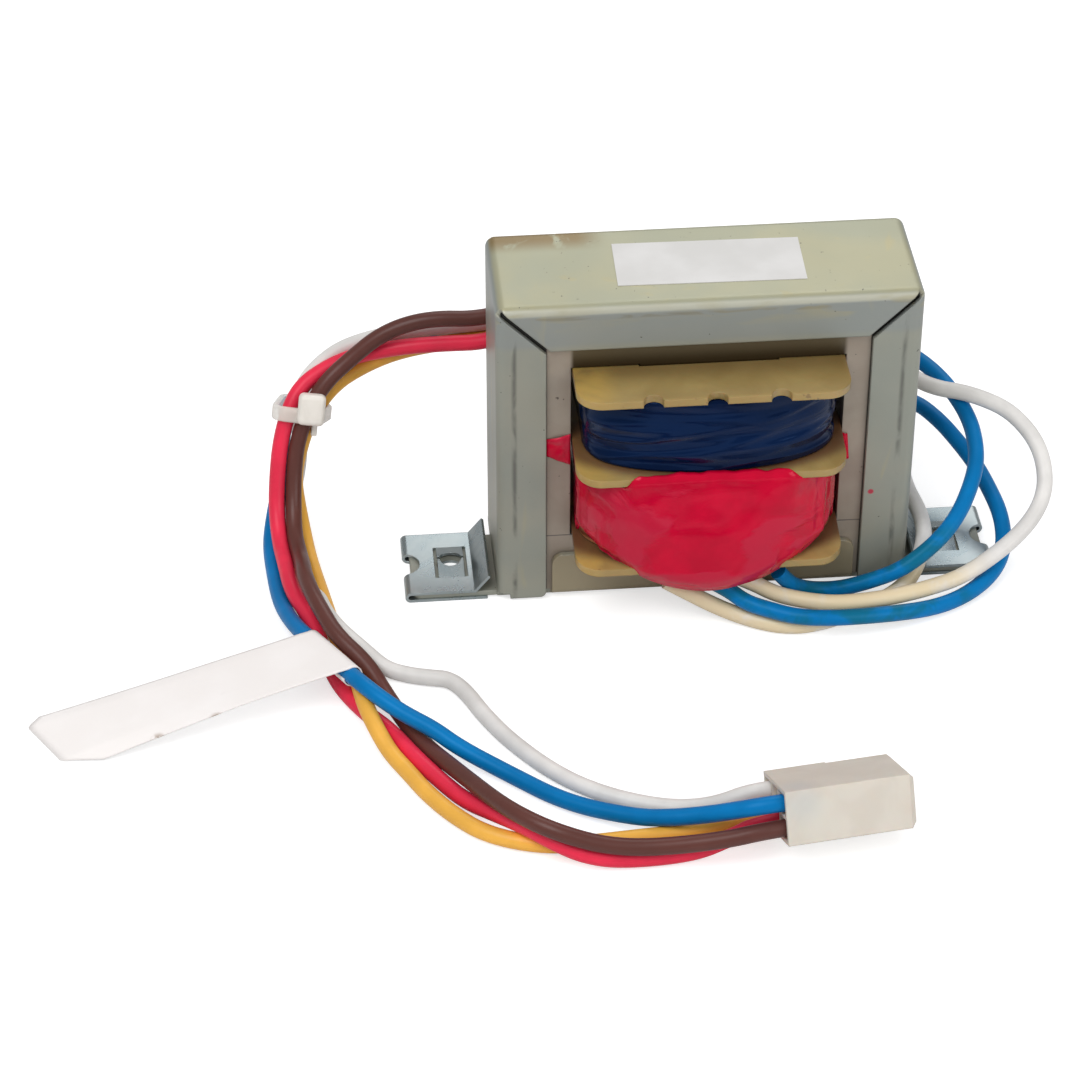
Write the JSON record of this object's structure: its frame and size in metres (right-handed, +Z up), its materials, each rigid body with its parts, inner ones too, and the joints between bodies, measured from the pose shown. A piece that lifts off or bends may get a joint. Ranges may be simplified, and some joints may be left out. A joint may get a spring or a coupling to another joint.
{
  "type": "spa pack transformer",
  "caption": "Laminated low-voltage transformer in a folded steel channel with clip-nut feet, stacked taped coils, coloured leads, cable tie, flag label and plug housing.",
  "frame": {"origin": "on the table under the middle of the core, at the centre of the body's footprint", "axes": "+X along the mounting feet, +Y to the rear of the coil, +Z up through the frame's top"},
  "size_m": [0.1686, 0.1121, 0.0574],
  "materials": {
    "varnished_zinc": "varnish-dipped zinc-plated sheet, satin with yellowish runs",
    "lamination_steel": "varnished stacked silicon steel",
    "tan_nylon": "moulded tan nylon, slightly translucent",
    "copper_wire": "enamelled copper winding",
    "red_film": "wrinkled glossy polyester tape",
    "blue_film": "wrinkled glossy polyester tape",
    "bright_zinc": "bright zinc-plated spring steel",
    "white_paper": "matte adhesive label stock, blank",
    "brown_insulation": "extruded satin insulation",
    "red_insulation": "extruded satin insulation",
    "yellow_insulation": "extruded satin insulation",
    "blue_insulation": "extruded satin insulation",
    "white_insulation": "extruded satin insulation",
    "clear_nylon": "milky natural nylon",
    "tinned_metal": "tin-plated contact"
  },
  "bodies": {
    "root": {"channel_frame": "varnished_zinc", "base_plate": "varnished_zinc", "e_lamination_stack": "lamination_steel", "i_lamination_stack": "lamination_steel", "bobbin": "tan_nylon", "primary_winding": "copper_wire", "secondary_winding": "copper_wire", "primary_tape": "red_film", "secondary_tape": "blue_film", "insulation_film": "red_film", "left_clip_nut": "bright_zinc", "right_clip_nut": "bright_zinc", "rating_label": "white_paper", "brown_lead": "brown_insulation", "red_lead": "red_insulation", "yellow_lead": "yellow_insulation", "blue_lead": "blue_insulation", "white_lead": "white_insulation", "second_blue_lead": "blue_insulation", "second_white_lead": "white_insulation", "splice_cap": "clear_nylon", "cable_tie": "clear_nylon", "connector_housing": "clear_nylon", "flag_label": "white_paper", "crimp_terminals": "tinned_metal"}
  },
  "joints": []
}
